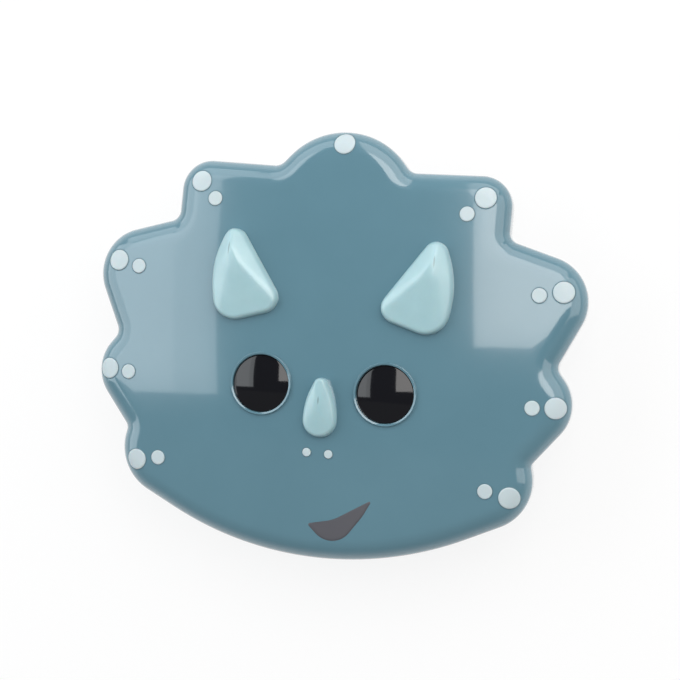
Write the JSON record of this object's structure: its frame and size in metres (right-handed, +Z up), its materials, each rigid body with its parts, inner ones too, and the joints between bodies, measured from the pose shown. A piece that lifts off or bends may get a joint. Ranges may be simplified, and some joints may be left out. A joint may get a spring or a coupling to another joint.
{
  "type": "toddler snack container",
  "caption": "Shallow oval snack container with lift-out dividers and a press-on lid shaped as a horned dinosaur's face with eyes, horns and a lobed frill.",
  "frame": {"origin": "middle of the lid's outline, on the plane that the tray's foot stands on", "axes": "+Z up out of the face, +Y from the chin to the crest, +X to the right as the face is looked at"},
  "size_m": [0.1808, 0.1546, 0.0527],
  "materials": {
    "lid_plastic": "smooth semi-gloss moulded plastic",
    "tray_plastic": "smooth semi-gloss moulded plastic",
    "divider_plastic": "fine matt moulded plastic",
    "seal_silicone": "soft matt silicone",
    "horn_silicone": "soft matt silicone",
    "dot_silicone": "smooth satin silicone",
    "eye_plastic": "polished black dome",
    "mouth_plastic": "matt dark grey inlay"
  },
  "bodies": {
    "tray": {"base_tray": "tray_plastic"},
    "lid": {"lid_shell": "lid_plastic", "lid_seal": "seal_silicone", "horn_left": "horn_silicone", "horn_right": "horn_silicone", "nose_horn": "horn_silicone", "eye_left": "eye_plastic", "eye_right": "eye_plastic", "mouth_inlay": "mouth_plastic", "frill_dots_large": "dot_silicone", "frill_dots_small": "dot_silicone", "nostril_dots": "dot_silicone"},
    "long_divider": {"divider_long": "divider_plastic"},
    "cross_divider": {"divider_cross": "divider_plastic"}
  },
  "joints": [
    {"name": "lid_lift", "type": "slide", "parent": "tray", "child": "lid", "axis": [0, 0, 1], "range_m": [0, 0.12]},
    {"name": "long_lift", "type": "slide", "parent": "tray", "child": "long_divider", "axis": [0, 0, 1], "range_m": [0, 0.036]},
    {"name": "cross_lift", "type": "slide", "parent": "tray", "child": "cross_divider", "axis": [0, 0, 1], "range_m": [0, 0.072]}
  ],
  "couplings": [
    {"joint": "long_lift", "follows": "lid_lift", "ratio": 0.3},
    {"joint": "cross_lift", "follows": "lid_lift", "ratio": 0.6}
  ]
}
